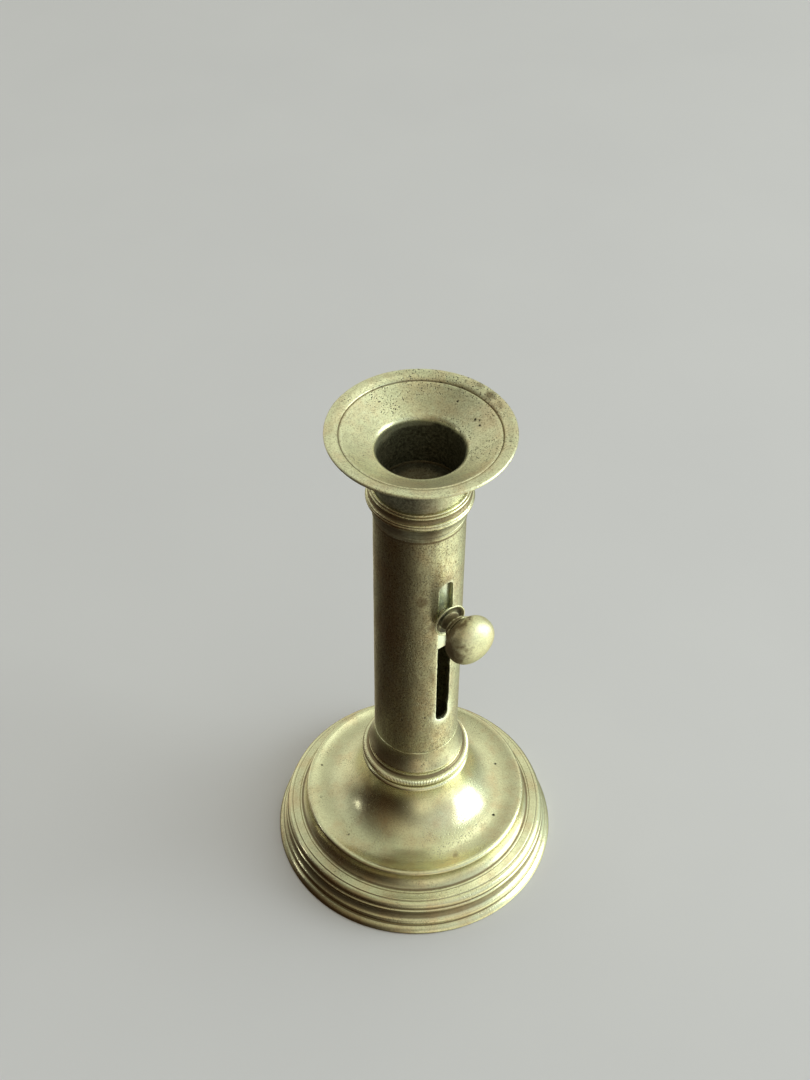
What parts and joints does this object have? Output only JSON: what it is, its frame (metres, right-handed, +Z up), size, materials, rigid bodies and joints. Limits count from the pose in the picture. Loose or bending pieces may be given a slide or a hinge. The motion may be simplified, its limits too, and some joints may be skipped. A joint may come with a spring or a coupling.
{
  "type": "candlestick",
  "caption": "Brass push-up candlestick: round moulded foot, slotted stem, drip pan with candle socket, and a side knob that slides the candle seat up and down.",
  "frame": {"origin": "centre of the foot's underside, on the surface that it stands on", "axes": "+Z up along the stem's axis; the slot and knob look towards -Y, turned 37.2 degrees towards +X"},
  "size_m": [0.0912, 0.0912, 0.1741],
  "materials": {
    "cast_brass": "turned and polished long ago, now a pale yellow-green with darker grooves",
    "tube_brass": "satin, with fine lengthwise mottling and small dark pits",
    "pan_brass": "satin, with turning lines, dark pits and grime in the crease",
    "knob_brass": "smooth, polished by fingers",
    "hidden_brass": "dull, tarnished and stained by wax"
  },
  "bodies": {
    "stand": {"base": "cast_brass", "milled_ring": "cast_brass", "stem_ferrule": "cast_brass", "stem_plug": "hidden_brass", "base_washer": "hidden_brass", "base_nut": "hidden_brass", "stem_tube": "tube_brass", "top_collar": "cast_brass", "drip_pan": "pan_brass"},
    "pusher": {"pusher_sleeve": "hidden_brass", "candle_seat": "hidden_brass", "slide_stud": "hidden_brass", "knob_washer": "knob_brass"},
    "knob": {"knob": "knob_brass"}
  },
  "joints": [
    {"name": "pusher_slide", "type": "slide", "parent": "stand", "child": "pusher", "axis": [0, 0, 1], "range_m": [-0.0444, 0.0117]},
    {"name": "knob_turn", "type": "hinge", "parent": "pusher", "child": "knob", "pos_m": [0.01451, -0.01912, 0.1125], "axis": [0.6046, -0.7965, 0], "range_deg": [0, 360]}
  ]
}
